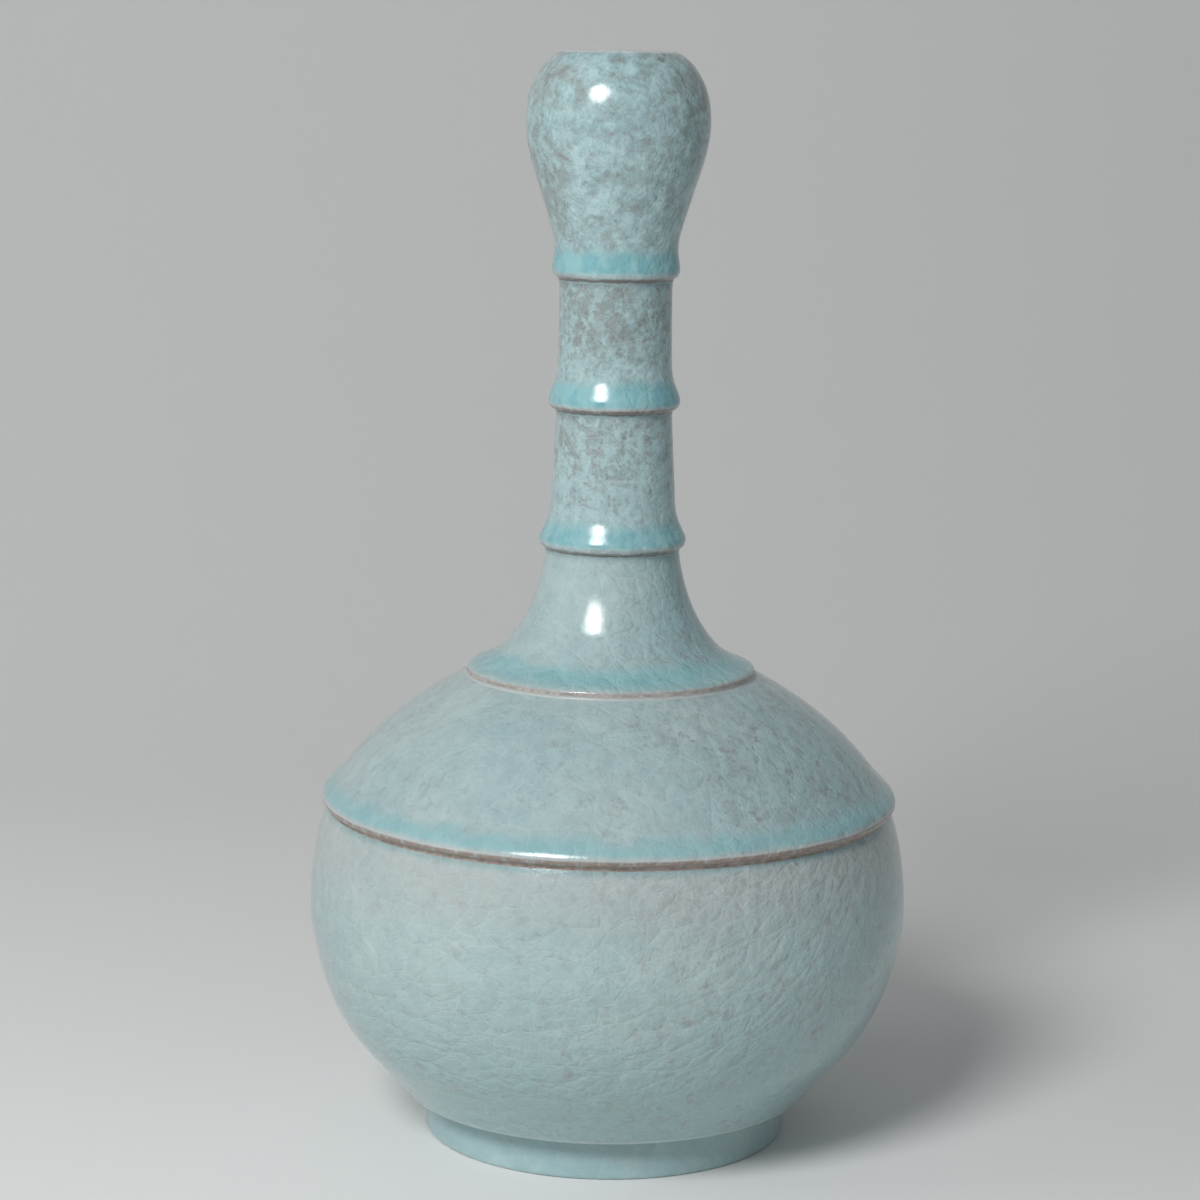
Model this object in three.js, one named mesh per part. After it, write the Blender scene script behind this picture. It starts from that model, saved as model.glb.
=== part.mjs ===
// Celadon garlic-mouth vase, millimetres, +Z up.
// Origin: centre of the foot ring's contact face, on the vase's axis.
//
// The vase is thrown in sections on the wheel, turned, and luted together with
// slip when leather-hard. Each raised rib is the lower lip of the section above,
// which oversails the section below and hides the seam. Every seam is a lapped
// joint: a tongue on the lower section stands inside a rebate of the section
// above, with a ring of slip between the two butt faces.
import * as THREE from "three";

// ---- driving dimensions --------------------------------------------------
const HEIGHT = 300; // foot face to lip
const SEGMENTS = 36; // facets round the axis
const SLIP = 0.5; // thickness of the slip in each seam
const LAP_GAP = 0.3; // clearance of a tongue in its rebate

// Foot ring
const FOOT_R_OUT = 50.6; // widest, just above the floor
const FOOT_R_IN = 44.2;
const FOOT_TOP = 11.6; // where the foot ring meets the body
const BASE_UNDERSIDE = 8; // recessed base inside the foot ring
const FLOOR_TOP = 14; // floor of the inside

// The seams above the foot, from the belly up:
// zf      height of the lower section's butt face
// rw      outside radius of the lower section there
// rm      outside radius of the tongue
// rin     inside radius there
// h       height of the tongue
const BELLY_SEAM = { zf: 93.2, rw: 78.2, rm: 75.4, rin: 73.0, h: 2.4 };
const SHOULDER_SEAM = { zf: 129.9, rw: 39.3, rm: 36.6, rin: 34.4, h: 1.0 };
const NECK_SEAM_LOW = { zf: 164.6, rw: 18.5, rm: 16.4, rin: 14.3, h: 2.5 };
const NECK_SEAM_MID = { zf: 202.7, rw: 15.95, rm: 14.0, rin: 12.15, h: 2.5 };
const NECK_SEAM_TOP = { zf: 238.4, rw: 15.5, rm: 13.5, rin: 11.6, h: 2.5 };
const lapTop = ({ zf, h }) => zf + h + LAP_GAP; // top of the rebate over a tongue

// ---- outside of each section, [radius, height], from its lower edge up ----
const BODY_OUTSIDE = [
  [56.6, FOOT_TOP + SLIP],
  [57.4, 12.8],
  [61.7, 18.0],
  [66.4, 23.1],
  [71.3, 28.9],
  [75.3, 35.4],
  [78.5, 42.4],
  [80.9, 50.0],
  [82.5, 57.0],
  [83.1, 64.4],
  [82.8, 73.1],
  [81.8, 80.8],
  [80.3, 87.2],
  [BELLY_SEAM.rw, BELLY_SEAM.zf],
];
const SHOULDER_OUTSIDE = [
  [78.7, BELLY_SEAM.zf + SLIP],
  [79.6, 94.2],
  [79.9, 95.3],
  [79.4, 96.8],
  [76.3, 100.1],
  [73.0, 103.9],
  [67.9, 109.7],
  [61.8, 115.5],
  [54.3, 121.2],
  [46.9, 126.0],
  [SHOULDER_SEAM.rw, SHOULDER_SEAM.zf],
];
const CONE_OUTSIDE = [
  [39.4, SHOULDER_SEAM.zf + SLIP],
  [39.95, 131.3],
  [39.3, 132.0],
  [36.9, 133.0],
  [33.3, 134.7],
  [30.1, 137.0],
  [27.1, 140.5],
  [24.5, 144.3],
  [22.3, 149.0],
  [20.5, 154.0],
  [19.1, 159.0],
  [NECK_SEAM_LOW.rw, NECK_SEAM_LOW.zf],
];
const NECK_LOWER_OUTSIDE = [
  [18.9, NECK_SEAM_LOW.zf + SLIP],
  [19.9, 165.8],
  [20.25, 167.2],
  [19.8, 168.8],
  [18.4, 171.9],
  [17.4, 175.3],
  [17.05, 180.0],
  [16.5, 190.5],
  [NECK_SEAM_MID.rw, NECK_SEAM_MID.zf],
];
const NECK_UPPER_OUTSIDE = [
  [16.5, NECK_SEAM_MID.zf + SLIP],
  [17.6, 203.9],
  [18.05, 205.3],
  [17.8, 207.2],
  [16.6, 210.4],
  [15.85, 213.8],
  [15.55, 222.0],
  [15.4, 231.0],
  [NECK_SEAM_TOP.rw, NECK_SEAM_TOP.zf],
];
const HEAD_OUTSIDE = [
  [15.9, NECK_SEAM_TOP.zf + SLIP],
  [16.9, 239.6],
  [17.4, 241.2],
  [17.3, 243.2],
  [16.9, 247.0],
  [17.7, 252.0],
  [19.5, 258.0],
  [21.3, 264.0],
  [23.3, 270.0],
  [24.7, 275.6],
  [25.1, 281.2],
  [24.6, 287.0],
  [23.0, 291.9],
  [20.5, 295.9],
  [17.6, 298.6],
  [14.4, HEIGHT],
  [12.9, 299.3],
  [12.5, 297.8],
];

// ---- inside, [radius, height], from the floor up --------------------------
const BODY_INSIDE = [
  [0, FLOOR_TOP],
  [24, FLOOR_TOP + 0.4],
  [42, 16.8],
  [55, 21.8],
  [65, 32.0],
  [72.2, 44.0],
  [76.6, 57.0],
  [77.7, 66.0],
  [76.6, 78.0],
  [BELLY_SEAM.rin, BELLY_SEAM.zf],
];
const SHOULDER_INSIDE = [
  [71.2, 97.2],
  [67.0, 101.2],
  [59.0, 109.4],
  [49.5, 117.2],
  [40.2, 123.4],
  [SHOULDER_SEAM.rin, SHOULDER_SEAM.zf],
];
const CONE_INSIDE = [
  [32.6, lapTop(SHOULDER_SEAM)],
  [28.5, 133.4],
  [24.0, 138.2],
  [20.2, 144.4],
  [17.3, 152.0],
  [NECK_SEAM_LOW.rin, NECK_SEAM_LOW.zf],
];
const NECK_LOWER_INSIDE = [
  [NECK_SEAM_LOW.rin, lapTop(NECK_SEAM_LOW)],
  [13.1, 178.0],
  [NECK_SEAM_MID.rin, NECK_SEAM_MID.zf],
];
const NECK_UPPER_INSIDE = [
  [NECK_SEAM_MID.rin, lapTop(NECK_SEAM_MID)],
  [11.7, 220.0],
  [NECK_SEAM_TOP.rin, NECK_SEAM_TOP.zf],
];
const HEAD_INSIDE = [
  [NECK_SEAM_TOP.rin, lapTop(NECK_SEAM_TOP)],
  [12.3, 248.5],
  [15.0, 258.0],
  [18.0, 267.0],
  [20.2, 275.0],
  [20.8, 281.4],
  [19.9, 287.8],
  [17.2, 292.9],
  [13.8, 296.0],
];

// ---- materials -----------------------------------------------------------
const glazed = new THREE.MeshStandardMaterial({
  color: 0xa9c3c2,
  roughness: 0.16,
  metalness: 0,
});
const glazedPale = new THREE.MeshStandardMaterial({
  color: 0xb3c9c6,
  roughness: 0.16,
  metalness: 0,
});
const slipClay = new THREE.MeshStandardMaterial({
  color: 0x8a7468,
  roughness: 0.85,
  metalness: 0,
});

// ---- building blocks ------------------------------------------------------
// A solid of revolution about +Z from a closed [radius, height] outline that
// runs anticlockwise (up the outside, down the inside).
function turned(name, outline, material) {
  const points = outline.map(([r, z]) => new THREE.Vector2(r, z));
  const first = outline[0];
  if (first[0] !== 0) points.push(new THREE.Vector2(first[0], first[1]));
  const geometry = new THREE.LatheGeometry(points, SEGMENTS);
  geometry.rotateX(Math.PI / 2);
  const mesh = new THREE.Mesh(geometry, material);
  mesh.name = name;
  return mesh;
}

// The top of a lower section: butt face, then the tongue, from outside in.
const tongue = ({ zf, rm, rin, h }) => [
  [rm, zf],
  [rm, zf + h],
  [rin, zf + h],
];
// The bottom of the section above: the rebate over that tongue, from inside out.
const rebate = ({ zf, rm, rin, h }) => [
  [rin, zf + h + LAP_GAP],
  [rm + LAP_GAP, zf + h + LAP_GAP],
  [rm + LAP_GAP, zf + SLIP],
];
// The slip between the two butt faces.
const slipRing = (name, { zf, rw, rm }) =>
  turned(
    name,
    [
      [rm + LAP_GAP, zf],
      [rw - 0.4, zf],
      [rw - 0.4, zf + SLIP],
      [rm + LAP_GAP, zf + SLIP],
    ],
    slipClay,
  );
const down = (points) => [...points].reverse();

// ---- the pieces ------------------------------------------------------------
const footRing = turned(
  "foot_ring",
  [
    [45.4, 0],
    [49.8, 0],
    [FOOT_R_OUT, 0.9],
    [50.3, 4.5],
    [49.9, FOOT_TOP],
    [FOOT_R_IN, FOOT_TOP],
    [FOOT_R_IN, 1.4],
  ],
  glazed,
);

const lowerBody = turned(
  "lower_body",
  [
    [0, BASE_UNDERSIDE],
    [FOOT_R_IN - 0.4, BASE_UNDERSIDE],
    [FOOT_R_IN - 0.4, FOOT_TOP + SLIP],
    ...BODY_OUTSIDE,
    ...tongue(BELLY_SEAM),
    ...down(BODY_INSIDE),
  ],
  glazedPale,
);

const shoulder = turned(
  "shoulder",
  [
    ...rebate(BELLY_SEAM),
    ...SHOULDER_OUTSIDE,
    ...tongue(SHOULDER_SEAM),
    ...down(SHOULDER_INSIDE),
  ],
  glazedPale,
);

const neckCone = turned(
  "neck_cone",
  [
    [CONE_INSIDE[0][0], lapTop(SHOULDER_SEAM)],
    ...rebate(SHOULDER_SEAM).slice(1),
    ...CONE_OUTSIDE,
    ...tongue(NECK_SEAM_LOW),
    ...down(CONE_INSIDE.slice(1)),
  ],
  glazedPale,
);

const neckLower = turned(
  "neck_lower",
  [
    ...rebate(NECK_SEAM_LOW).slice(1),
    ...NECK_LOWER_OUTSIDE,
    ...tongue(NECK_SEAM_MID),
    ...down(NECK_LOWER_INSIDE),
  ],
  glazed,
);

const neckUpper = turned(
  "neck_upper",
  [
    ...rebate(NECK_SEAM_MID).slice(1),
    ...NECK_UPPER_OUTSIDE,
    ...tongue(NECK_SEAM_TOP),
    ...down(NECK_UPPER_INSIDE),
  ],
  glazed,
);

const garlicHead = turned(
  "garlic_head",
  [
    ...rebate(NECK_SEAM_TOP).slice(1),
    ...HEAD_OUTSIDE,
    ...down(HEAD_INSIDE),
  ],
  glazed,
);

const footSlip = turned(
  "foot_slip",
  [
    [FOOT_R_IN + 0.2, FOOT_TOP],
    [49.5, FOOT_TOP],
    [49.5, FOOT_TOP + SLIP],
    [FOOT_R_IN + 0.2, FOOT_TOP + SLIP],
  ],
  slipClay,
);

// ---- assembly --------------------------------------------------------------
const base = new THREE.Group();
base.add(footRing, footSlip, lowerBody);

const upperBody = new THREE.Group();
upperBody.add(slipRing("belly_slip", BELLY_SEAM), shoulder);

const neck = new THREE.Group();
neck.add(
  slipRing("shoulder_slip", SHOULDER_SEAM),
  neckCone,
  slipRing("neck_slip_low", NECK_SEAM_LOW),
  neckLower,
  slipRing("neck_slip_mid", NECK_SEAM_MID),
  neckUpper,
);

const mouth = new THREE.Group();
mouth.add(slipRing("neck_slip_top", NECK_SEAM_TOP), garlicHead);

const vase = new THREE.Group();
vase.add(base, upperBody, neck, mouth);

export default vase;
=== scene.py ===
import math

import bpy
from mathutils import Matrix, Vector
from mathutils import noise as mnoise


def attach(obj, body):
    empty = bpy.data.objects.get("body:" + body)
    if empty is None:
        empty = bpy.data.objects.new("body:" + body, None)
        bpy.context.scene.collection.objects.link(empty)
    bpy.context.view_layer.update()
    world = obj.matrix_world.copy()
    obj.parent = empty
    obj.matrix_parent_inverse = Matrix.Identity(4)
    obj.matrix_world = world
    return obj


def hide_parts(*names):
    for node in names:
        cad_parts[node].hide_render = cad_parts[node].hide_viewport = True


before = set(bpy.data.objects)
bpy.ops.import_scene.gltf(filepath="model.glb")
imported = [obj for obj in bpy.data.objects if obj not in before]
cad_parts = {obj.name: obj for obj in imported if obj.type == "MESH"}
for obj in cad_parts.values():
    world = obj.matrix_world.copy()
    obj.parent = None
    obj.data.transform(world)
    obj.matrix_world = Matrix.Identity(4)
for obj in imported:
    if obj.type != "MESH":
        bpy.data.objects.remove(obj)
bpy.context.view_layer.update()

# ---------------------------------------------------------------------------
# Camera: fitted to the rib, rim and foot circles and the silhouette of the
# photograph. Lengths here are metres.
# ---------------------------------------------------------------------------
CAM_POS = (0.0, -0.874612, 0.297255)
CAM_PITCH = math.radians(9.56368)
CAM_YAW = math.radians(-0.209183)
CAM_ROLL = math.radians(0.794231)
CAM_LENS = 96.04


def make_camera():
    sy, cy = math.sin(CAM_YAW), math.cos(CAM_YAW)
    sp, cp = math.sin(CAM_PITCH), math.cos(CAM_PITCH)
    ahead = Vector((sy * cp, cy * cp, -sp))
    right = Vector((cy, -sy, 0.0))
    up = right.cross(ahead)
    r2 = right * math.cos(CAM_ROLL) + up * math.sin(CAM_ROLL)
    u2 = up * math.cos(CAM_ROLL) - right * math.sin(CAM_ROLL)
    m = Matrix.Identity(4)
    for i in range(3):
        m[i][0], m[i][1], m[i][2] = r2[i], u2[i], -ahead[i]
        m[i][3] = CAM_POS[i]
    data = bpy.data.cameras.new("camera")
    data.lens = CAM_LENS
    data.sensor_width = 36.0
    data.clip_start = 0.02
    data.clip_end = 30.0
    cam = bpy.data.objects.new("camera", data)
    cam.matrix_world = m
    bpy.context.scene.collection.objects.link(cam)
    bpy.context.scene.camera = cam


make_camera()

# ---------------------------------------------------------------------------
# The vase's profile, millimetres, [radius, height]. Every run is one smooth
# curve; where two runs meet there is an edge.
# ---------------------------------------------------------------------------
SLIP = 0.5
LAP_GAP = 0.3
FOOT_TOP = 11.6
FOOT_R_IN = 44.2

BODY_OUT = [
    [56.3, 12.12], [56.85, 12.25], [57.25, 12.55], [57.6, 13.0], [58.5, 14.1],
    [60.1, 16.0], [62.1, 18.35], [64.2, 20.75], [66.4, 23.15], [69.8, 27.0],
    [72.7, 30.8], [75.0, 34.7], [76.95, 38.5], [78.5, 42.3], [79.85, 46.2],
    [80.9, 50.0], [81.8, 53.9], [82.55, 57.8], [83.0, 61.6], [83.1, 65.4],
    [82.95, 70.3], [82.55, 75.0], [81.9, 80.0], [81.0, 84.6], [79.95, 88.4],
    [79.2, 90.6], [78.65, 92.1], [78.35, 92.85], [78.2, 93.2],
]
SHOULDER_NOSE = [
    [78.55, 93.72], [79.1, 93.85], [79.55, 94.15], [79.82, 94.65], [79.9, 95.2],
    [79.82, 95.8], [79.5, 96.55], [78.95, 97.35], [78.15, 98.3],
]
SHOULDER_OUT = [
    [77.3, 99.15], [76.2, 100.2], [74.6, 101.95], [72.9, 104.0], [71.3, 105.95],
    [69.6, 107.9], [67.75, 109.85], [65.8, 111.8], [63.8, 113.7], [61.6, 115.6],
    [59.3, 117.5], [56.9, 119.35], [54.3, 121.2], [51.5, 123.1], [48.5, 125.05],
    [45.4, 126.85], [42.8, 128.3], [41.0, 129.2], [39.85, 129.7], [39.3, 129.9],
]
CONE_NOSE = [[39.35, 130.4], [39.72, 130.62], [39.92, 131.0], [39.88, 131.4], [39.55, 131.8], [39.0, 132.12]]
CONE_OUT = [
    [38.2, 132.47], [36.9, 133.0], [35.0, 133.85], [33.2, 134.8], [30.5, 136.75],
    [28.65, 138.6], [27.1, 140.5], [25.75, 142.45], [24.55, 144.3], [23.5, 146.3],
    [22.6, 148.2], [21.8, 150.2], [21.1, 152.1], [20.5, 154.0], [19.95, 156.0],
    [19.45, 158.0], [19.0, 160.0], [18.7, 162.0], [18.5, 163.6], [18.5, 164.6],
]
LOWER_NOSE = [
    [18.8, 165.13], [19.3, 165.35], [19.85, 165.9], [20.17, 166.65], [20.25, 167.35],
    [20.1, 168.2],
]
LOWER_OUT = [
    [19.65, 169.25], [18.75, 171.1], [17.95, 173.1], [17.45, 175.1], [17.15, 177.5],
    [17.0, 181.0], [16.8, 184.7], [16.55, 188.6], [16.35, 192.4], [16.15, 196.3],
    [16.0, 199.5], [15.93, 201.6], [15.95, 202.7],
]
UPPER_NOSE = [
    [16.35, 203.23], [16.95, 203.42], [17.6, 203.97], [17.95, 204.75], [18.05, 205.45],
    [17.95, 206.4],
]
UPPER_OUT = [
    [17.6, 207.6], [16.75, 209.7], [16.15, 211.6], [15.8, 213.6], [15.65, 216.0],
    [15.55, 220.0], [15.45, 225.0], [15.4, 230.0], [15.4, 234.0], [15.42, 236.8],
    [15.5, 238.4],
]
HEAD_NOSE = [
    [15.75, 238.92], [16.25, 239.12], [16.9, 239.65], [17.27, 240.45], [17.4, 241.3],
    [17.38, 242.4],
]
HEAD_OUT = [
    [17.15, 243.9], [16.9, 245.8], [16.9, 247.9], [17.15, 250.1], [17.75, 252.3],
    [18.35, 254.4], [19.0, 256.5], [19.65, 258.6], [20.35, 260.8], [21.1, 263.2],
    [21.95, 265.8], [22.8, 268.4], [23.6, 271.1], [24.3, 273.9], [24.8, 276.8],
    [25.05, 279.2], [25.1, 281.3], [25.0, 283.6], [24.75, 286.0], [24.2, 288.6],
    [23.3, 291.2], [22.1, 293.5], [20.6, 295.8], [19.05, 297.45], [17.6, 298.6],
    [16.3, 299.4], [15.0, 299.85], [14.1, 300.0], [13.3, 299.75], [12.7, 299.1],
    [12.45, 298.2], [12.5, 297.2],
]

BODY_IN = [
    [0.0, 14.0], [12.0, 14.05], [24.0, 14.4], [34.0, 15.3], [42.0, 16.8], [55.0, 21.8],
    [65.0, 32.0], [72.2, 44.0], [76.0, 56.0], [77.3, 66.0], [76.4, 78.0], [73.0, 93.2],
]
SHOULDER_IN = [
    [72.6, 96.2], [71.2, 97.6], [67.0, 101.5], [59.0, 109.4], [49.5, 117.2],
    [40.2, 123.4], [34.4, 129.9],
]
CONE_IN = [
    [32.6, 131.2], [28.5, 133.4], [24.0, 138.2], [20.2, 144.4], [17.3, 152.0],
    [15.2, 159.0], [14.3, 164.6],
]
LOWER_IN = [[14.3, 167.4], [13.1, 178.0], [12.4, 190.0], [12.15, 202.7]]
UPPER_IN = [[12.15, 205.5], [11.7, 220.0], [11.6, 238.4]]
HEAD_IN = [
    [11.6, 241.2], [12.3, 248.5], [15.0, 258.0], [18.0, 267.0], [20.2, 275.0],
    [20.8, 281.4], [19.9, 287.8], [17.2, 292.9], [13.8, 296.0], [12.7, 296.7],
]

BELLY = dict(zf=93.2, rw=78.2, rm=75.4, rin=73.0, h=2.4)
SHOULD = dict(zf=129.9, rw=39.3, rm=36.6, rin=34.4, h=1.0)
NECK_A = dict(zf=164.6, rw=18.5, rm=16.4, rin=14.3, h=2.5)
NECK_B = dict(zf=202.7, rw=15.95, rm=14.0, rin=12.15, h=2.5)
NECK_C = dict(zf=238.4, rw=15.5, rm=13.5, rin=11.6, h=2.5)


def smooth(points, step):
    """A centripetal Catmull-Rom curve through the points, sampled about every
    step millimetres."""
    p = [Vector(q) for q in points]
    if len(p) < 3:
        n = max(1, int(round((p[1] - p[0]).length / step)))
        return [p[0].lerp(p[1], i / n) for i in range(n + 1)]
    p = [p[0] * 2 - p[1]] + p + [p[-1] * 2 - p[-2]]
    out = []
    for i in range(1, len(p) - 2):
        a, b, c, d = p[i - 1], p[i], p[i + 1], p[i + 2]
        ta = 0.0
        tb = ta + max((b - a).length, 1e-6) ** 0.5
        tc = tb + max((c - b).length, 1e-6) ** 0.5
        td = tc + max((d - c).length, 1e-6) ** 0.5
        n = max(1, int(math.ceil((c - b).length / step)))
        for k in range(n):
            t = tb + (tc - tb) * k / n
            a1 = a * ((tb - t) / (tb - ta)) + b * ((t - ta) / (tb - ta))
            a2 = b * ((tc - t) / (tc - tb)) + c * ((t - tb) / (tc - tb))
            a3 = c * ((td - t) / (td - tc)) + d * ((t - tc) / (td - tc))
            b1 = a1 * ((tc - t) / (tc - ta)) + a2 * ((t - ta) / (tc - ta))
            b2 = a2 * ((td - t) / (td - tb)) + a3 * ((t - tb) / (td - tb))
            out.append(b1 * ((tc - t) / (tc - tb)) + b2 * ((t - tb) / (tc - tb)))
    out.append(p[-2].copy())
    return out


def straight(a, b, step):
    a, b = Vector(a), Vector(b)
    n = max(1, int(math.ceil((b - a).length / step)))
    return [a.lerp(b, i / n) for i in range(n + 1)]


def chain(*runs):
    out = []
    for run in runs:
        for q in run:
            if not out or (Vector(q) - out[-1]).length > 1e-4:
                out.append(Vector(q))
    if (out[0] - out[-1]).length < 1e-4:
        out.pop()
    return out


def wander(r, z, a):
    """How far the hand-thrown wall wanders from a true circle, in millimetres.
    The foot's contact face stays true."""
    if z < 1.2:
        return 0.0
    ca, sa = math.cos(a), math.sin(a)
    broad = mnoise.noise(Vector((ca * 0.9, sa * 0.9, z * 0.011)))
    rings = mnoise.noise(Vector((ca * 0.35 + 5.0, sa * 0.35, z * 0.16)))
    size = 0.35 + 0.65 * min(1.0, r / 80.0)
    return size * (0.13 * broad + 0.05 * rings)


def turned(name, outline, node, material, segments=360, on_axis=False):
    """A closed solid of revolution about +Z, from an outline in millimetres that
    runs anticlockwise. on_axis says that its first and last points are on the axis."""
    verts, faces = [], []
    n = len(outline)
    tops = set()
    rings = []
    for i, q in enumerate(outline):
        if on_axis and i in (0, n - 1):
            rings.append([len(verts)])
            verts.append((0.0, 0.0, q[1] / 1000.0))
            tops.add(i)
            continue
        ring = []
        for k in range(segments):
            a = 2.0 * math.pi * k / segments
            r = q[0] + wander(q[0], q[1], a)
            ring.append(len(verts))
            verts.append((r * math.cos(a) / 1000.0, r * math.sin(a) / 1000.0, q[1] / 1000.0))
        rings.append(ring)
    last = n - 1 if on_axis else n
    for i in range(last):
        lo, hi = rings[i], rings[(i + 1) % n]
        for k in range(segments):
            k2 = (k + 1) % segments
            if len(lo) == 1:
                faces.append((lo[0], hi[k2], hi[k]))
            elif len(hi) == 1:
                faces.append((lo[k], lo[k2], hi[0]))
            else:
                faces.append((lo[k], lo[k2], hi[k2], hi[k]))
    mesh = bpy.data.meshes.new(name)
    mesh.from_pydata(verts, [], faces)
    mesh.validate()
    mesh.shade_smooth()
    mesh.set_sharp_from_angle(angle=math.radians(38))
    mesh.materials.append(material)
    piece = bpy.data.objects.new(name, mesh)
    bpy.context.scene.collection.objects.link(piece)
    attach(piece, "root")
    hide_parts(node)
    return piece


# ---------------------------------------------------------------------------
# Materials
# ---------------------------------------------------------------------------
def srgb(r, g, b):
    def lin(c):
        c /= 255.0
        return c / 12.92 if c <= 0.04045 else ((c + 0.055) / 1.055) ** 2.4

    return (lin(r), lin(g), lin(b), 1.0)


class Net:
    """Short calls for building a material's nodes."""

    def __init__(self, name):
        self.mat = bpy.data.materials.new(name)
        self.mat.use_nodes = True
        self.tree = self.mat.node_tree
        self.tree.nodes.clear()

    def node(self, kind, **values):
        n = self.tree.nodes.new(kind)
        for k, v in values.items():
            setattr(n, k, v)
        return n

    def link(self, a, b):
        self.tree.links.new(a, b)

    def put(self, socket, value):
        if isinstance(value, bpy.types.NodeSocket):
            self.link(value, socket)
        else:
            socket.default_value = value

    def math(self, op, a, b=0.0, c=0.0, clamp=False):
        n = self.node("ShaderNodeMath", operation=op, use_clamp=clamp)
        self.put(n.inputs[0], a)
        self.put(n.inputs[1], b)
        self.put(n.inputs[2], c)
        return n.outputs[0]

    def vec(self, op, a, b=(0, 0, 0)):
        n = self.node("ShaderNodeVectorMath", operation=op)
        self.put(n.inputs[0], a)
        if op == "SCALE":
            self.put(n.inputs["Scale"], b)
        else:
            self.put(n.inputs[1], b)
        return n.outputs[0]

    def noise(self, vector, scale, detail=2.0, rough=0.5, distortion=0.0):
        n = self.node("ShaderNodeTexNoise")
        self.put(n.inputs["Vector"], vector)
        n.inputs["Scale"].default_value = scale
        n.inputs["Detail"].default_value = detail
        n.inputs["Roughness"].default_value = rough
        n.inputs["Distortion"].default_value = distortion
        return n.outputs["Fac"], n.outputs["Color"]

    def edges(self, vector, scale):
        n = self.node("ShaderNodeTexVoronoi", feature="DISTANCE_TO_EDGE")
        self.put(n.inputs["Vector"], vector)
        n.inputs["Scale"].default_value = scale
        return n.outputs["Distance"]

    def cells(self, vector, scale, randomness=1.0):
        n = self.node("ShaderNodeTexVoronoi", feature="F1")
        self.put(n.inputs["Vector"], vector)
        n.inputs["Scale"].default_value = scale
        n.inputs["Randomness"].default_value = randomness
        return n.outputs["Distance"], n.outputs["Color"]

    def ramp(self, value, lo, hi, a=0.0, b=1.0, kind="SMOOTHSTEP"):
        n = self.node("ShaderNodeMapRange", interpolation_type=kind)
        n.clamp = True
        self.put(n.inputs["Value"], value)
        self.put(n.inputs["From Min"], lo)
        self.put(n.inputs["From Max"], hi)
        self.put(n.inputs["To Min"], a)
        self.put(n.inputs["To Max"], b)
        return n.outputs["Result"]

    def mix(self, fac, a, b, blend="MIX"):
        n = self.node("ShaderNodeMix", data_type="RGBA", blend_type=blend)
        self.put(n.inputs[0], fac)
        self.put(n.inputs[6], a)
        self.put(n.inputs[7], b)
        return n.outputs[2]

    def bump(self, height, distance, strength=1.0, normal=None):
        n = self.node("ShaderNodeBump")
        n.inputs["Strength"].default_value = strength
        n.inputs["Distance"].default_value = distance
        self.put(n.inputs["Height"], height)
        if normal is not None:
            self.link(normal, n.inputs["Normal"])
        return n.outputs["Normal"]


def lin(r, g, b):
    return (r, g, b, 1.0)


# Each rib of the vase, heights in millimetres: the brown, glaze-thin edge
# (middle, half width, strength); the pale band over it (from, to, strength); the
# pool of thick glaze above that, which is full from the second height to the
# third, and how deep it is.
RIBS = {
    "belly": dict(brown=(94.6, 0.8, 0.95), pale=(95.4, 96.2, 0.7), pool=(95.9, 97.5, 98.0, 102.2), deep=0.72),
    "shoulder": dict(brown=(130.9, 0.7, 0.4), pale=(129.9, 131.7, 0.95), pool=(131.3, 133.6, 134.0, 137.8), deep=0.92),
    # On the neck ribs the pale band's tone is darker than the default: painted shade on the underside of the rib's
    # nose.
    "neck_low": dict(brown=(165.55, 0.3, 0.9), pale=(166.0, 166.8, 0.45), tone=(0.37, 0.395, 0.39), pool=(166.5, 167.9, 170.2, 174.9), deep=1.0),
    "neck_mid": dict(brown=(203.8, 0.45, 1.0), pale=(204.3, 205.0, 0.5), tone=(0.37, 0.395, 0.39), pool=(204.6, 205.7, 208.6, 213.2), deep=1.08),
    "neck_top": dict(brown=(239.15, 0.35, 0.85), pale=(239.6, 240.5, 0.45), tone=(0.42, 0.445, 0.44), pool=(240.3, 241.6, 244.6, 248.6), deep=1.0),
}


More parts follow.
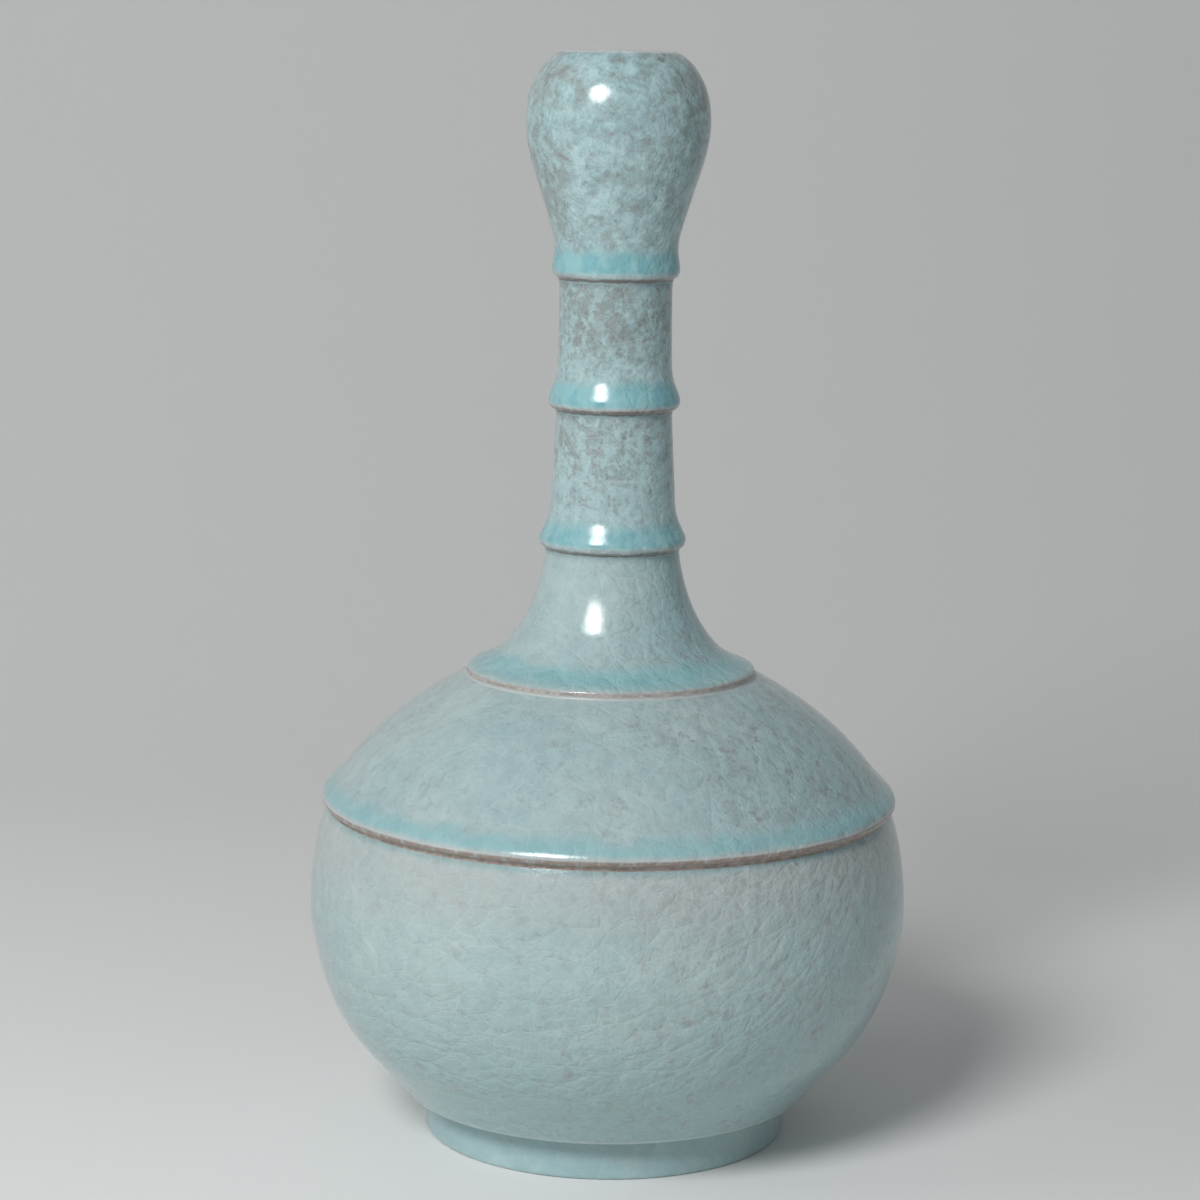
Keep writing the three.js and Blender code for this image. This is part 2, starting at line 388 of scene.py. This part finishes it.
def celadon(name, ground, ribs=(), twist=0.0, lean=False, squash=1.0, long_cell=13.0, short_cell=5.0,
            crack=0.12, relief=1.0, hammer=1.0, clouds=None, marks=None, smudges=None, shaded_side=None,
            bloom=False, low=False, lip=False, bare=False, under_rib_shade=None, calm=False):
    """The glaze of one section. Coordinates are millimetres on the vase."""
    n = Net(name)
    coord = n.node("ShaderNodeTexCoord")
    mm = n.vec("SCALE", coord.outputs["Object"], 1000.0)
    sep = n.node("ShaderNodeSeparateXYZ")
    n.link(mm, sep.inputs[0])
    x, z = sep.outputs["X"], sep.outputs["Z"]

    broad_f, broad_c = n.noise(mm, 0.030, 0.0)
    wob = n.math("SUBTRACT", n.noise(mm, 0.11, 3.0, 0.6)[0], 0.5)

    # ground: faintly uneven in thickness
    r, g, b = ground
    color = n.mix(n.ramp(broad_f, 0.32, 0.68), lin(r * 0.95, g * 0.982, b * 0.99), lin(r * 1.035, g * 1.014, b * 1.008))

    # and in small soft patches
    patch = n.ramp(n.noise(mm, 0.15, 3.0, 0.6, 0.3)[0], 0.34, 0.66)
    color = n.mix(1.0, color, n.mix(patch, lin(0.935, 0.955, 0.965), lin(1.045, 1.035, 1.03)), "MULTIPLY")

    if low:
        # a little more colour low on the belly
        color = n.mix(n.ramp(z, 26.0, 66.0, 0.95, 0.0), color, lin(0.334, 0.484, 0.495))
    if shaded_side:
        # painted shade: the colour turns bluer and more saturated towards the right-hand side, away from the key light
        x0, x1, much = shaded_side
        color = n.mix(n.ramp(x, x0, x1, 0.0, much), color, lin(0.318, 0.480, 0.496))

    # pools of thick glaze above the ribs
    pool = None
    for rib in ribs:
        p0, p1, p2, p3 = RIBS[rib]["pool"]
        under = n.math("MULTIPLY_ADD", wob, 0.9, z)
        over = n.math("MULTIPLY_ADD", wob, 6.0, z)
        a = n.math("MULTIPLY", n.ramp(under, p0, p1), n.ramp(over, p2, p3, 1.0, 0.0))
        a = n.math("MULTIPLY", a, RIBS[rib]["deep"])
        pool = a if pool is None else n.math("MAXIMUM", pool, a)
    clean = None if pool is None else n.math("SUBTRACT", 1.0, n.math("MULTIPLY", pool, 0.8), clamp=True)

    def lay(amount, tint):
        """One stain over the ground, kept out of the pools."""
        nonlocal color
        if clean is not None:
            amount = n.math("MULTIPLY", amount, clean)
        color = n.mix(amount, color, lin(*tint))

    if clouds:
        # brown-grey clouds and clear glaze between them, down to fine grains
        c = clouds
        f = n.noise(mm, 1.0 / c["size"], 5.0, 0.72, 0.25)[0]
        f = n.math("ADD", f, n.math("MULTIPLY", n.math("SUBTRACT", broad_f, 0.5), 0.22))
        f = n.math("ADD", f, c["shift"])
        for z0, z1, up in c.get("where", ()):
            f = n.math("ADD", f, n.ramp(n.math("MULTIPLY_ADD", wob, 10.0, z), z0, z1, 0.0, up))
        stain = n.ramp(f, 0.47, 0.60, kind="LINEAR")
        lay(n.math("MULTIPLY", stain, c["amount"]), c["tint"])
        light = n.ramp(f, 0.36, 0.47, 1.0, 0.0, "LINEAR")
        lay(n.math("MULTIPLY", light, c["clear"]), (0.42, 0.585, 0.60))
        core = n.ramp(n.noise(mm, 2.4 / c["size"], 3.0, 0.6, 0.2)[0], 0.53, 0.68)
        core = n.math("MULTIPLY", core, n.ramp(stain, 0.0, 0.9, 0.3, 1.0))
        lay(n.math("MULTIPLY", core, c["core"]), c["dark"])

    if marks:
        # short soft strokes and faint mottling, stronger towards the right-hand side
        m = marks
        x0, x1 = m.get("across", (-40.0, 55.0))
        side = n.ramp(x, x0, x1, m["left"], m["right"])
        herd = n.ramp(n.noise(mm, m.get("herd", 0.055), 2.0, 0.5)[0], 0.36, 0.62, 0.30, 1.15)
        side = n.math("MULTIPLY", side, herd)
        f = n.noise(mm, 1.0 / m["size"], 3.0, 0.55, 0.2)[0]
        lay(n.math("MULTIPLY", n.ramp(f, m["start"], m["start"] + 0.24), side), m["tint"])
        f = n.noise(mm, 0.42 / m["size"], 2.0, 0.5)[0]
        lay(n.math("MULTIPLY", n.ramp(f, 0.44, 0.66), n.math("MULTIPLY", side, 0.38)), m["tint"])

    if smudges:
        # purple-grey smudges, scattered
        m = smudges
        f = n.noise(mm, 1.0 / m["size"], 1.0, 0.5, 0.15)[0]
        herd = n.ramp(n.noise(mm, 0.25 / m["size"], 1.0)[0], 0.38, 0.60, 0.25, 1.0)
        side = n.math("MULTIPLY", n.ramp(x, -60.0, 60.0, m["left"], m["right"]), herd)
        lay(n.math("MULTIPLY", n.ramp(f, m["start"], m["start"] + 0.20), side), m["tint"])
        f = n.noise(mm, 0.5 / m["size"], 2.0, 0.6, 0.2)[0]
        lay(n.math("MULTIPLY", n.ramp(f, m["start"], m["start"] + 0.20), 0.14), m["tint2"])

    if bloom:
        # thin, pinkish glaze below the widest rib, with brown grains towards the right
        zb = n.math("MULTIPLY_ADD", wob, 12.0, z)
        thin = n.math("MULTIPLY", n.ramp(zb, 66.0, 90.0), n.ramp(z, 90.4, 92.0, 1.0, 0.0))
        color = n.mix(n.math("MULTIPLY", thin, 0.55), color, lin(0.475, 0.50, 0.495))
        grains = n.ramp(n.noise(mm, 0.42, 4.0, 0.65, 0.5)[0], 0.50, 0.62)
        grains = n.math("MULTIPLY", grains, n.math("MULTIPLY", n.ramp(zb, 72.0, 92.0), n.ramp(x, -50.0, 55.0, 0.15, 1.0)))
        grains = n.math("MULTIPLY", grains, n.ramp(z, 91.0, 92.3, 1.0, 0.0))
        color = n.mix(n.math("MULTIPLY", grains, 0.6), color, lin(0.325, 0.305, 0.295))

    if pool is not None:
        runs = n.noise(n.vec("MULTIPLY", mm, (1.0, 1.0, 0.35)), 0.24, 3.0, 0.6, 0.3)[0]
        if calm:
            deep = n.mix(n.ramp(runs, 0.36, 0.62), lin(0.215, 0.450, 0.484), lin(0.262, 0.500, 0.524))
        else:
            deep = n.mix(n.ramp(runs, 0.38, 0.60), lin(0.192, 0.425, 0.465), lin(0.268, 0.504, 0.528))
        color = n.mix(n.math("MULTIPLY", pool, 0.95, clamp=True), color, deep)

    # edges of the ribs
    broken = n.ramp(n.noise(mm, 0.42, 3.0, 0.6)[0], 0.33, 0.50, 0.5, 1.0)
    for rib in ribs:
        zw = n.math("MULTIPLY_ADD", wob, 0.6, z)
        p0, p1, much = RIBS[rib]["pale"]
        pale = n.math("MULTIPLY", n.ramp(zw, p0 - 0.25, p0 + 0.25), n.ramp(zw, p1 - 0.45, p1 + 0.25, 1.0, 0.0))
        color = n.mix(n.math("MULTIPLY", pale, much), color, lin(*RIBS[rib].get("tone", (0.50, 0.52, 0.51))))
        zc, half, much = RIBS[rib]["brown"]
        off = n.math("ABSOLUTE", n.math("SUBTRACT", zw, zc))
        brown = n.math("MULTIPLY", n.ramp(off, half - 0.3, half + 0.3, 1.0, 0.0), broken)
        color = n.mix(n.math("MULTIPLY", brown, 0.9 * much), color, lin(0.25, 0.165, 0.13))

    if under_rib_shade:
        # painted shade: the colour darkens into the angle under the rib above, where the rib's shadow falls
        top, depth, tone = under_rib_shade
        shade = n.mix(n.ramp(z, top - depth, top), lin(1.0, 1.0, 1.0), lin(tone, tone * 1.02, tone * 1.03))
        color = n.mix(1.0, color, shade, "MULTIPLY")

    # crackle: long cracks first, then short ones that stop at them
    turn = mm
    if twist:
        rot = n.node("ShaderNodeVectorRotate", rotation_type="Z_AXIS")
        n.link(mm, rot.inputs["Vector"])
        n.put(rot.inputs["Angle"], n.math("MULTIPLY", z, twist))
        turn = rot.outputs[0]
    if lean:
        # the cracks climb towards the right-hand side and fall from the left
        right = n.math("MAXIMUM", n.math("SUBTRACT", x, 5.0), 0.0)
        left = n.math("MAXIMUM", n.math("SUBTRACT", -25.0, x), 0.0)
        up = n.math("MULTIPLY", n.math("MULTIPLY", right, right), -0.008)
        up = n.math("ADD", up, n.math("MULTIPLY", n.math("MULTIPLY", left, left), 0.006))
        shift = n.node("ShaderNodeCombineXYZ")
        n.link(up, shift.inputs["Z"])
        turn = n.vec("ADD", turn, shift.outputs[0])
    bent = n.vec("ADD", turn, n.vec("SCALE", n.vec("SUBTRACT", broad_c, (0.5, 0.5, 0.5)), 12.0))
    if squash != 1.0:
        bent = n.vec("MULTIPLY", bent, (1.0, 1.0, squash))
    e1 = n.math("MULTIPLY", n.edges(bent, 1.0 / long_cell), long_cell)
    cell_c = n.cells(bent, 1.0 / long_cell)[1]
    moved = n.vec("ADD", bent, n.vec("SCALE", cell_c, 60.0))
    e2 = n.math("MULTIPLY", n.edges(moved, 1.0 / short_cell), short_cell)
    fade = n.ramp(n.noise(mm, 0.09, 2.0)[0], 0.35, 0.6, 0.55, 1.0)
    l1 = n.ramp(e1, 0.04, 0.24, 1.0, 0.0, "LINEAR")
    l2 = n.math("MULTIPLY", n.ramp(e2, 0.03, 0.20, 1.0, 0.0, "LINEAR"), fade)
    line = n.math("MAXIMUM", l1, n.math("MULTIPLY", l2, 0.85))
    if pool is not None:
        line = n.math("MULTIPLY", line, n.math("SUBTRACT", 1.0, n.math("MULTIPLY", pool, 0.55), clamp=True))
    color = n.mix(n.math("MULTIPLY", line, crack), color, lin(0.66, 0.74, 0.73))

    if low:
        # pale line on the turned edge over the foot: partly thin glaze, partly a painted highlight where the edge
        # catches the light
        color = n.mix(n.ramp(z, 12.7, 13.3, 0.6, 0.0), color, lin(0.53, 0.59, 0.58))
    if lip:
        # a brown cast below the lip on one side, and the thin edge of the lip painted pale: partly thin glaze, partly
        # painted light on the lip's top
        cast = n.math("MULTIPLY", n.ramp(x, -2.0, -14.0), n.math("MULTIPLY", n.ramp(z, 281.0, 289.0), n.ramp(z, 298.5, 295.0)))
        cast = n.math("MULTIPLY", cast, n.ramp(n.noise(mm, 0.22, 3.0, 0.6)[0], 0.36, 0.60))
        color = n.mix(n.math("MULTIPLY", cast, 0.40), color, lin(0.27, 0.25, 0.215))
        edge = n.ramp(n.math("MULTIPLY_ADD", wob, 0.5, z), 299.2, 299.6)
        color = n.mix(n.math("MULTIPLY", edge, 0.8), color, lin(0.60, 0.63, 0.61))

    if bare:
        # unglazed contact face
        clay_f = n.ramp(z, 0.04, 0.14, 1.0, 0.0)
        color = n.mix(clay_f, color, srgb(136, 98, 76))

    # The glaze is a smooth clear coat; the cracks and dents lie under it.
    shader = n.node("ShaderNodeBsdfPrincipled")
    n.link(color, shader.inputs["Base Color"])
    shader.inputs["Roughness"].default_value = 0.6
    shader.inputs["IOR"].default_value = 1.5
    shader.inputs["Specular IOR Level"].default_value = 0.0
    shader.inputs["Coat IOR"].default_value = 1.55
    shader.inputs["Coat Roughness"].default_value = 0.12
    if bare:
        n.link(n.math("SUBTRACT", 1.0, clay_f), shader.inputs["Coat Weight"])
    else:
        shader.inputs["Coat Weight"].default_value = 1.0

    dent = n.noise(mm, 0.19, 4.0, 0.55)[0]
    relief_n = n.bump(dent, 0.00105 * hammer)
    relief_n = n.bump(n.ramp(e1, 0.0, 2.6), 0.00012 * relief, 1.0, relief_n)
    groove = n.math("ADD", n.ramp(e1, 0.0, 0.6), n.math("MULTIPLY", n.ramp(e2, 0.0, 0.55), fade))
    if lean:
        groove = n.math("MULTIPLY", groove, n.ramp(x, 5.0, 65.0, 1.0, 0.6))
    relief_n = n.bump(groove, 0.000072 * relief, 1.0, relief_n)
    n.link(relief_n, shader.inputs["Normal"])
    n.link(n.bump(n.noise(mm, 2.6, 2.0, 0.6)[0], 0.000030), shader.inputs["Coat Normal"])
    out = n.node("ShaderNodeOutputMaterial")
    n.link(shader.outputs[0], out.inputs["Surface"])
    return n.mat


def seam_glaze(name, tone, pale_below=None, pale=(0.47, 0.525, 0.515)):
    """Glaze that has run thin over the slip in the angle under a rib; the neck seams' tones given below also carry
    painted shade.
    """
    n = Net(name)
    coord = n.node("ShaderNodeTexCoord")
    mm = n.vec("SCALE", coord.outputs["Object"], 1000.0)
    shader = n.node("ShaderNodeBsdfPrincipled")
    grain = n.ramp(n.noise(mm, 0.5, 3.0, 0.6)[0], 0.35, 0.65)
    r, g, b = tone
    color = n.mix(grain, lin(r * 0.78, g * 0.75, b * 0.73), lin(r * 1.20, g * 1.23, b * 1.26))
    # a paler colour below the given height; on the neck seams it is the ground darkened as painted shade
    if pale_below:
        sep = n.node("ShaderNodeSeparateXYZ")
        n.link(mm, sep.inputs[0])
        z = n.math("MULTIPLY_ADD", n.math("SUBTRACT", grain, 0.5), 0.5, sep.outputs["Z"])
        color = n.mix(n.ramp(z, pale_below - 0.35, pale_below + 0.35, 1.0, 0.0), color, lin(*pale))
    n.link(color, shader.inputs["Base Color"])
    shader.inputs["Roughness"].default_value = 0.32
    shader.inputs["IOR"].default_value = 1.5
    out = n.node("ShaderNodeOutputMaterial")
    n.link(shader.outputs[0], out.inputs["Surface"])
    return n.mat


# The darkening given to some glazes below, under the rib above them, is painted shade.
foot_glaze = celadon("glaze_foot", (0.358, 0.506, 0.520), long_cell=10.0, short_cell=4.0, crack=0.10, relief=0.5,
                     hammer=0.5, bare=True,
                     marks=dict(size=2.2, start=0.58, left=0.35, right=0.6, tint=(0.31, 0.36, 0.36)))
# The bluer right-hand side given to this and later glazes is painted shade colour.
body_glaze = celadon("glaze_belly", (0.388, 0.508, 0.512), ribs=("belly",), lean=True, squash=1.75, long_cell=10.4,
                     short_cell=4.6, crack=0.18, relief=0.74, hammer=0.95, bloom=True, low=True, shaded_side=(10.0, 78.0, 0.6),
                     under_rib_shade=(93.0, 2.6, 0.80),
                     marks=dict(size=1.7, start=0.50, left=0.28, right=0.62, tint=(0.305, 0.36, 0.372)),
                     smudges=dict(size=3.0, start=0.56, left=0.38, right=0.72, tint=(0.295, 0.32, 0.345),
                                  tint2=(0.35, 0.29, 0.22)))
shoulder_glaze = celadon("glaze_shoulder", (0.392, 0.505, 0.510), ribs=("belly", "shoulder"), long_cell=12.0,
                         short_cell=4.6, crack=0.13, relief=0.6, hammer=0.8, shaded_side=(15.0, 75.0, 0.85), calm=True,
                         marks=dict(size=2.1, start=0.50, left=0.40, right=1.15, tint=(0.268, 0.298, 0.312),
                                    across=(-20.0, 60.0)))
cone_glaze = celadon("glaze_cone", (0.388, 0.508, 0.515), ribs=("shoulder", "neck_low"), twist=0.02, long_cell=9.0,
                     short_cell=4.0, crack=0.18, relief=0.9, hammer=0.9, shaded_side=(2.0, 20.0, 1.0),
                     under_rib_shade=(164.6, 2.4, 0.80), calm=True,
                     marks=dict(size=1.6, start=0.50, left=0.25, right=0.85, tint=(0.275, 0.325, 0.335),
                                across=(-20.0, 22.0)))
lower_glaze = celadon("glaze_neck_low", (0.362, 0.505, 0.520), ribs=("neck_low", "neck_mid"), twist=0.035,
                      long_cell=11.0, short_cell=4.6, crack=0.24, relief=0.9, hammer=1.0, shaded_side=(2.0, 17.0, 0.5),
                      under_rib_shade=(202.7, 2.4, 0.74),
                      clouds=dict(size=3.1, shift=-0.11, amount=1.0, tint=(0.29, 0.338, 0.34), core=0.8, clear=0.55,
                                  dark=(0.26, 0.265, 0.26), where=[(178.0, 196.0, 0.085)]),
                      marks=dict(size=1.3, start=0.50, left=0.7, right=0.7, tint=(0.27, 0.34, 0.355)))
upper_glaze = celadon("glaze_neck_up", (0.350, 0.478, 0.490), ribs=("neck_mid", "neck_top"), twist=0.035,
                      long_cell=8.0, short_cell=3.6, crack=0.15, relief=0.8, hammer=1.0, shaded_side=(2.0, 16.0, 0.4),
                      under_rib_shade=(238.4, 2.4, 0.72),
                      clouds=dict(size=3.6, shift=-0.11, amount=1.0, tint=(0.262, 0.322, 0.318), core=0.9, clear=0.8,
                                  dark=(0.228, 0.238, 0.228), where=[(210.0, 227.0, 0.15)]),
                      marks=dict(size=1.3, start=0.50, left=0.7, right=0.7, tint=(0.25, 0.315, 0.32)))
head_glaze = celadon("glaze_head", (0.345, 0.490, 0.505), ribs=("neck_top",), twist=0.01, long_cell=9.0,
                     short_cell=3.8, crack=0.07, relief=0.7, hammer=0.9, lip=True, shaded_side=(2.0, 25.0, 0.35),
                     clouds=dict(size=4.4, shift=0.0, amount=1.0, tint=(0.268, 0.338, 0.335), core=0.9, clear=1.0,
                                 dark=(0.24, 0.255, 0.248)),
                     marks=dict(size=1.3, start=0.50, left=0.5, right=0.6, tint=(0.25, 0.31, 0.315)))
seam_brown = seam_glaze("glaze_seam_brown", (0.325, 0.268, 0.236))
seam_pale = seam_glaze("glaze_seam_pale", (0.380, 0.360, 0.338), 130.1)
seam_foot = seam_glaze("glaze_seam_foot", (0.305, 0.32, 0.315))
# Neck seams: the dark tone is the brown glaze-thin line with painted shade from the rib's nose added; the colour below
# it is the ground darkened as painted shade in the angle.
seam_shade_low = seam_glaze("glaze_seam_shade_neck_low", (0.165, 0.155, 0.145), 164.8, (0.285, 0.395, 0.405))
seam_shade_mid = seam_glaze("glaze_seam_shade_neck_mid", (0.165, 0.145, 0.13), 202.9, (0.27, 0.37, 0.38))
seam_shade_top = seam_glaze("glaze_seam_shade_neck_top", (0.165, 0.155, 0.145), 238.6, (0.26, 0.355, 0.365))

# ---------------------------------------------------------------------------
# Pieces
# ---------------------------------------------------------------------------
STEP = 0.7
IN_STEP = 1.8


def tongue(s):
    return straight((s["rm"], s["zf"]), (s["rm"], s["zf"] + s["h"]), 1.5) + straight(
        (s["rm"], s["zf"] + s["h"]), (s["rin"], s["zf"] + s["h"]), 1.5
    )


def rebate(s):
    top = s["zf"] + s["h"] + LAP_GAP
    rr = s["rm"] + LAP_GAP
    return [Vector((rr, top)), Vector((rr, s["zf"] + SLIP))]


turned(
    "foot_ring_glazed",
    chain(
        straight((45.4, 0.0), (49.7, 0.0), 1.2),
        smooth([[49.7, 0.0], [50.2, 0.12], [50.5, 0.45], [50.6, 1.1]], 0.15),
        smooth([[50.6, 1.1], [50.5, 3.2], [50.25, 6.0], [50.05, 9.0], [50.0, 10.7], [50.0, 11.6]], STEP),
        straight((50.0, 11.6), (FOOT_R_IN, 11.6), 1.5),
        straight((FOOT_R_IN, 11.6), (FOOT_R_IN, 1.6), 1.0),
        smooth([[FOOT_R_IN, 1.6], [44.35, 0.8], [44.8, 0.22], [45.4, 0.0]], 0.2),
    ),
    "foot_ring", foot_glaze,
)

turned(
    "lower_body_glazed",
    chain(
        straight((0.0, 8.0), (43.8, 8.0), 2.2),
        straight((43.8, 8.0), (43.8, 12.1), 1.0),
        straight((43.8, 12.1), (56.3, 12.12), 1.8),
        smooth(BODY_OUT, STEP),
        straight((BELLY["rw"], BELLY["zf"]), (BELLY["rm"], BELLY["zf"]), 1.0),
        tongue(BELLY),
        straight((BELLY["rin"], BELLY["zf"] + BELLY["h"]), (BELLY["rin"], BELLY["zf"]), 1.2),
        smooth(BODY_IN[::-1], IN_STEP),
    ),
    "lower_body", body_glaze, 384, True,
)

turned(
    "shoulder_glazed",
    chain(
        [(73.0, BELLY["zf"] + BELLY["h"] + LAP_GAP)],
        rebate(BELLY),
        straight((75.7, 93.7), (78.3, 93.7), 1.0),
        smooth(SHOULDER_NOSE + SHOULDER_OUT, 0.5),
        tongue(SHOULD),
        smooth(SHOULDER_IN[::-1][:-1], IN_STEP),
    ),
    "shoulder", shoulder_glaze, 384,
)

turned(
    "neck_cone_glazed",
    chain(
        [(32.6, SHOULD["zf"] + SHOULD["h"] + LAP_GAP)],
        rebate(SHOULD),
        straight((36.9, 130.4), (39.2, 130.4), 1.0),
        smooth(CONE_NOSE + CONE_OUT, 0.4),
        tongue(NECK_A),
        smooth(CONE_IN[::-1], IN_STEP),
    ),
    "neck_cone", cone_glaze,
)

turned(
    "neck_lower_glazed",
    chain(
        rebate(NECK_A),
        straight((16.7, 165.1), (18.6, 165.1), 1.0),
        smooth(LOWER_NOSE + LOWER_OUT, 0.4),
        tongue(NECK_B),
        smooth(LOWER_IN[::-1], IN_STEP),
    ),
    "neck_lower", lower_glaze, 300,
)

turned(
    "neck_upper_glazed",
    chain(
        rebate(NECK_B),
        straight((14.3, 203.2), (16.2, 203.2), 1.0),
        smooth(UPPER_NOSE + UPPER_OUT, 0.4),
        tongue(NECK_C),
        smooth(UPPER_IN[::-1], IN_STEP),
    ),
    "neck_upper", upper_glaze, 300,
)

turned(
    "garlic_head_glazed",
    chain(
        rebate(NECK_C),
        straight((13.8, 238.9), (15.6, 238.9), 1.0),
        smooth(HEAD_NOSE + HEAD_OUT, 0.45),
        smooth(HEAD_IN[::-1], 0.9),
    ),
    "garlic_head", head_glaze, 300,
)

# The slip in each seam. Its outer edge is drawn out into a small fillet that
# closes the angle under the rib, and the glaze lies thin over it.
turned(
    "foot_slip_fillet",
    chain(
        straight((44.4, 11.6), (49.8, 11.6), 1.5),
        smooth([[49.8, 11.6], [50.05, 11.2], [50.15, 11.6], [50.5, 11.95], [51.1, 12.13]], 0.2),
        straight((51.1, 12.13), (44.4, 12.1), 1.5),
    ),
    "foot_slip", seam_foot,
)
for piece, node, s, edge, tone in (
    ("belly_slip_fillet", "belly_slip", BELLY,
     [[78.1, 93.2], [78.44, 92.7], [78.37, 93.05], [78.44, 93.4], [78.75, 93.8]], seam_brown),
    ("shoulder_slip_fillet", "shoulder_slip", SHOULD,
     [[39.2, 129.9], [40.45, 129.46], [40.14, 129.66], [40.03, 129.97], [39.99, 130.35], [39.96, 130.75],
      [39.93, 130.98], [39.72, 130.6], [39.36, 130.38]], seam_pale),
    ("neck_slip_low_fillet", "neck_slip_low", NECK_A,
     [[18.4, 164.6], [18.55, 164.2], [18.6, 164.55], [18.72, 164.9], [19.05, 165.23]], seam_shade_low),
    ("neck_slip_mid_fillet", "neck_slip_mid", NECK_B,
     [[15.85, 202.7], [15.99, 202.3], [16.05, 202.65], [16.2, 203.0], [16.55, 203.32]], seam_shade_mid),
    ("neck_slip_top_fillet", "neck_slip_top", NECK_C,
     [[15.4, 238.4], [15.5, 238.0], [15.58, 238.35], [15.7, 238.7], [16.0, 239.02]], seam_shade_top),
):
    turned(
        piece,
        chain(
            straight((s["rm"] + LAP_GAP, s["zf"]), edge[0], 1.2),
            smooth(edge, 0.12),
            straight(edge[-1], (s["rm"] + LAP_GAP, s["zf"] + SLIP), 1.2),
        ),
        node, tone, 384 if s is BELLY else 300,
    )

# ---------------------------------------------------------------------------
# Floor and light
# ---------------------------------------------------------------------------
def floor_material():
    n = Net("studio_floor")
    shader = n.node("ShaderNodeBsdfPrincipled")
    shader.inputs["Base Color"].default_value = (0.86, 0.86, 0.85, 1.0)
    shader.inputs["Roughness"].default_value = 0.7
    out = n.node("ShaderNodeOutputMaterial")
    n.link(shader.outputs[0], out.inputs["Surface"])
    return n.mat


def make_floor():
    """A floor that curves up into a backdrop."""
    width, front, back, tall, bend = 6.0, -3.0, 1.2, 3.0, 0.8
    line = [(front, 0.0), (back - bend, 0.0)]
    for i in range(1, 25):
        a = math.pi / 2 * i / 24
        line.append((back - bend + bend * math.sin(a), bend - bend * math.cos(a)))
    line.append((back, tall))
    verts, faces = [], []
    for y, zz in line:
        verts += [(-width / 2, y, zz), (width / 2, y, zz)]
    for i in range(len(line) - 1):
        faces.append((2 * i, 2 * i + 1, 2 * i + 3, 2 * i + 2))
    mesh = bpy.data.meshes.new("floor")
    mesh.from_pydata(verts, [], faces)
    mesh.shade_smooth()
    mesh.materials.append(floor_material())
    floor = bpy.data.objects.new("floor", mesh)
    bpy.context.scene.collection.objects.link(floor)


make_floor()


def area_light(name, place, aim, size, power, shape="RECTANGLE", color=(1, 1, 1), shines=False):
    data = bpy.data.lights.new(name, "AREA")
    data.shape = shape
    data.size, data.size_y = size
    data.energy = power
    data.color = color
    o = bpy.data.objects.new(name, data)
    o.location = place
    o.rotation_euler = (Vector(aim) - Vector(place)).to_track_quat("-Z", "Y").to_euler()
    o.visible_glossy = shines
    bpy.context.scene.collection.objects.link(o)


area_light("key", (-0.477, -0.937, 0.914), (0, 0, 0.15), (0.48, 0.48), 11.8, "DISK", shines=True)
area_light("side", (-1.3, -0.2, 0.7), (0, 0, 0.12), (0.8, 1.0), 3.0)
area_light("fill", (1.4, -0.9, 0.7), (0, 0, 0.12), (1.2, 1.2), 0.9, color=(0.88, 0.96, 1.0))

world = bpy.data.worlds.new("studio")
bpy.context.scene.world = world
world.use_nodes = True
world.node_tree.nodes["Background"].inputs[0].default_value = (0.88, 0.91, 0.95, 1.0)
world.node_tree.nodes["Background"].inputs[1].default_value = 0.20

bpy.context.scene.view_settings.view_transform = "Standard"
